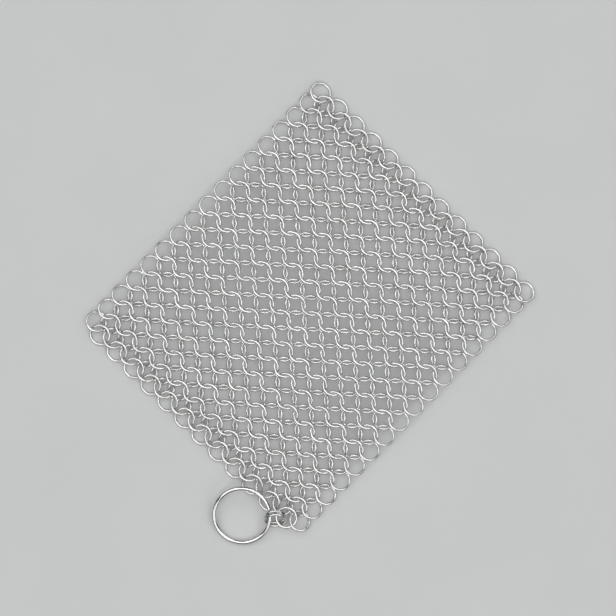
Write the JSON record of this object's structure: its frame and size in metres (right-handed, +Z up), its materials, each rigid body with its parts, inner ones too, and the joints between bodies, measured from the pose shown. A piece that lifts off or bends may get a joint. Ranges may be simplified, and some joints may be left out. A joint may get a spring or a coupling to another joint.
{
  "type": "chainmail pot scrubber",
  "caption": "Limp rectangular sheet of interlinked welded stainless wire rings with a plain round hanging ring on one corner, for scouring cookware.",
  "frame": {"origin": "on the ground, under the middle of the box around the flat sheet and its hanging ring", "axes": "+X along the rows of rings, +Y across the rows from the hanging ring's end of the sheet to the other, +Z up off the ground"},
  "size_m": [0.1528, 0.1974, 0.0091],
  "materials": {
    "mesh_wire": "tumbled stainless wire, satin bright",
    "hanging_wire": "polished stainless wire"
  },
  "bodies": {
    "row_01": {"row_01": "mesh_wire"},
    "row_02": {"row_02": "mesh_wire"},
    "row_03": {"row_03": "mesh_wire"},
    "row_04": {"row_04": "mesh_wire"},
    "row_05": {"row_05": "mesh_wire"},
    "row_06": {"row_06": "mesh_wire"},
    "row_07": {"row_07": "mesh_wire"},
    "row_08": {"row_08": "mesh_wire"},
    "row_09": {"row_09": "mesh_wire"},
    "row_10": {"row_10": "mesh_wire"},
    "row_11": {"row_11": "mesh_wire"},
    "row_12": {"row_12": "mesh_wire"},
    "row_13": {"row_13": "mesh_wire"},
    "row_14": {"row_14": "mesh_wire"},
    "row_15": {"row_15": "mesh_wire"},
    "row_16": {"row_16": "mesh_wire"},
    "row_17": {"row_17": "mesh_wire"},
    "row_18": {"row_18": "mesh_wire"},
    "row_19": {"row_19": "mesh_wire"},
    "row_20": {"row_20": "mesh_wire"},
    "row_21": {"row_21": "mesh_wire"},
    "row_22": {"row_22": "mesh_wire"},
    "row_23": {"row_23": "mesh_wire"},
    "row_24": {"row_24": "mesh_wire"},
    "row_25": {"row_25": "mesh_wire"},
    "row_26": {"row_26": "mesh_wire"},
    "row_27": {"row_27": "mesh_wire"},
    "row_28": {"row_28": "mesh_wire"},
    "row_29": {"row_29": "mesh_wire"},
    "row_30": {"row_30": "mesh_wire"},
    "row_31": {"row_31": "mesh_wire"},
    "row_32": {"row_32": "mesh_wire"},
    "row_33": {"row_33": "mesh_wire"},
    "row_34": {"row_34": "mesh_wire"},
    "connector_ring_1": {"connector_ring_1": "mesh_wire"},
    "connector_ring_2": {"connector_ring_2": "mesh_wire"},
    "hanging_ring": {"hanging_ring": "hanging_wire"}
  },
  "joints": [
    {"name": "hanging_ring_swing", "type": "hinge", "parent": "connector_ring_1", "child": "hanging_ring", "pos_m": [0.05692, -0.07298, 0.00568], "axis": [-0.7853, 0.5823, 0.2103], "range_deg": [0, 150]},
    {"name": "connector_1_slide_round", "type": "hinge", "parent": "row_34", "child": "connector_ring_1", "pos_m": [0.0649, -0.06934, 0.00302], "axis": [0, -0.0819, 0.9966], "range_deg": [0, 25]},
    {"name": "connector_2_slide_round", "type": "hinge", "parent": "row_34", "child": "connector_ring_2", "pos_m": [0.0649, -0.06934, 0.00302], "axis": [0, -0.0819, 0.9966], "range_deg": [0, 25]},
    {"name": "row_16_fold", "type": "hinge", "parent": "row_17", "child": "row_16", "pos_m": [0, 0.01724, 0.00391], "axis": [1, 0, 0], "range_deg": [0, 60]},
    {"name": "row_18_fold", "type": "hinge", "parent": "row_17", "child": "row_18", "pos_m": [0, 0.01204, 0.00605], "axis": [1, 0, 0], "range_deg": [0, 60]},
    {"name": "row_15_fold", "type": "hinge", "parent": "row_16", "child": "row_15", "pos_m": [0, 0.02249, 0.00595], "axis": [-1, 0, 0], "range_deg": [0, 60]},
    {"name": "row_19_fold", "type": "hinge", "parent": "row_18", "child": "row_19", "pos_m": [0, 0.00683, 0.00391], "axis": [-1, 0, 0], "range_deg": [0, 60]},
    {"name": "row_14_fold", "type": "hinge", "parent": "row_15", "child": "row_14", "pos_m": [0, 0.02766, 0.00372], "axis": [1, 0, 0], "range_deg": [0, 60]},
    {"name": "row_20_fold", "type": "hinge", "parent": "row_19", "child": "row_20", "pos_m": [0, 0.00159, 0.00595], "axis": [1, 0, 0], "range_deg": [0, 60]},
    {"name": "row_13_fold", "type": "hinge", "parent": "row_14", "child": "row_13", "pos_m": [0, 0.03293, 0.00566], "axis": [-1, 0, 0], "range_deg": [0, 60]},
    {"name": "row_21_fold", "type": "hinge", "parent": "row_20", "child": "row_21", "pos_m": [0, -0.00358, 0.00372], "axis": [-1, 0, 0], "range_deg": [0, 60]},
    {"name": "row_12_fold", "type": "hinge", "parent": "row_13", "child": "row_12", "pos_m": [0, 0.03806, 0.00336], "axis": [1, 0, 0], "range_deg": [0, 60]},
    {"name": "row_22_fold", "type": "hinge", "parent": "row_21", "child": "row_22", "pos_m": [0, -0.00886, 0.00566], "axis": [1, 0, 0], "range_deg": [0, 60]},
    {"name": "row_11_fold", "type": "hinge", "parent": "row_12", "child": "row_11", "pos_m": [0, 0.04335, 0.00523], "axis": [-1, 0, 0], "range_deg": [0, 60]},
    {"name": "row_23_fold", "type": "hinge", "parent": "row_22", "child": "row_23", "pos_m": [0, -0.01399, 0.00336], "axis": [-1, 0, 0], "range_deg": [0, 60]},
    {"name": "row_10_fold", "type": "hinge", "parent": "row_11", "child": "row_10", "pos_m": [0, 0.04845, 0.00289], "axis": [1, 0, 0], "range_deg": [0, 60]},
    {"name": "row_24_fold", "type": "hinge", "parent": "row_23", "child": "row_24", "pos_m": [0, -0.01928, 0.00523], "axis": [1, 0, 0], "range_deg": [0, 60]},
    {"name": "row_09_fold", "type": "hinge", "parent": "row_10", "child": "row_09", "pos_m": [0, 0.05373, 0.00473], "axis": [-1, 0, 0], "range_deg": [0, 60]},
    {"name": "row_25_fold", "type": "hinge", "parent": "row_24", "child": "row_25", "pos_m": [0, -0.02438, 0.00289], "axis": [-1, 0, 0], "range_deg": [0, 60]},
    {"name": "row_08_fold", "type": "hinge", "parent": "row_09", "child": "row_08", "pos_m": [0, 0.05879, 0.0024], "axis": [1, 0, 0], "range_deg": [0, 60]},
    {"name": "row_26_fold", "type": "hinge", "parent": "row_25", "child": "row_26", "pos_m": [0, -0.02965, 0.00473], "axis": [1, 0, 0], "range_deg": [0, 60]},
    {"name": "row_07_fold", "type": "hinge", "parent": "row_08", "child": "row_07", "pos_m": [0, 0.06401, 0.00424], "axis": [-1, 0, 0], "range_deg": [0, 60]},
    {"name": "row_27_fold", "type": "hinge", "parent": "row_26", "child": "row_27", "pos_m": [0, -0.03472, 0.0024], "axis": [-1, 0, 0], "range_deg": [0, 60]},
    {"name": "row_06_fold", "type": "hinge", "parent": "row_07", "child": "row_06", "pos_m": [0, 0.069, 0.00198], "axis": [1, 0, 0], "range_deg": [0, 60]},
    {"name": "row_28_fold", "type": "hinge", "parent": "row_27", "child": "row_28", "pos_m": [0, -0.03993, 0.00424], "axis": [1, 0, 0], "range_deg": [0, 60]},
    {"name": "row_05_fold", "type": "hinge", "parent": "row_06", "child": "row_05", "pos_m": [0, 0.07406, 0.00381], "axis": [-1, 0, 0], "range_deg": [0, 60]},
    {"name": "row_29_fold", "type": "hinge", "parent": "row_28", "child": "row_29", "pos_m": [0, -0.04492, 0.00198], "axis": [-1, 0, 0], "range_deg": [0, 60]},
    {"name": "row_04_fold", "type": "hinge", "parent": "row_05", "child": "row_04", "pos_m": [0, 0.07886, 0.0017], "axis": [1, 0, 0], "range_deg": [0, 60]},
    {"name": "row_30_fold", "type": "hinge", "parent": "row_29", "child": "row_30", "pos_m": [0, -0.04998, 0.00381], "axis": [1, 0, 0], "range_deg": [0, 60]},
    {"name": "row_03_fold", "type": "hinge", "parent": "row_04", "child": "row_03", "pos_m": [0, 0.08355, 0.00348], "axis": [-1, 0, 0], "range_deg": [0, 60]},
    {"name": "row_31_fold", "type": "hinge", "parent": "row_30", "child": "row_31", "pos_m": [0, -0.05479, 0.0017], "axis": [-1, 0, 0], "range_deg": [0, 60]},
    {"name": "row_02_fold", "type": "hinge", "parent": "row_03", "child": "row_02", "pos_m": [0, 0.08785, 0.00167], "axis": [1, 0, 0], "range_deg": [0, 60]},
    {"name": "row_32_fold", "type": "hinge", "parent": "row_31", "child": "row_32", "pos_m": [0, -0.05948, 0.00348], "axis": [1, 0, 0], "range_deg": [0, 60]},
    {"name": "row_01_fold", "type": "hinge", "parent": "row_02", "child": "row_01", "pos_m": [0, 0.09168, 0.00319], "axis": [-1, 0, 0], "range_deg": [0, 60]},
    {"name": "row_33_fold", "type": "hinge", "parent": "row_32", "child": "row_33", "pos_m": [0, -0.06378, 0.00167], "axis": [-1, 0, 0], "range_deg": [0, 60]},
    {"name": "row_34_fold", "type": "hinge", "parent": "row_33", "child": "row_34", "pos_m": [0, -0.0676, 0.00319], "axis": [1, 0, 0], "range_deg": [0, 60]}
  ],
  "couplings": [
    {"joint": "connector_2_slide_round", "follows": "connector_1_slide_round", "ratio": 1}
  ]
}
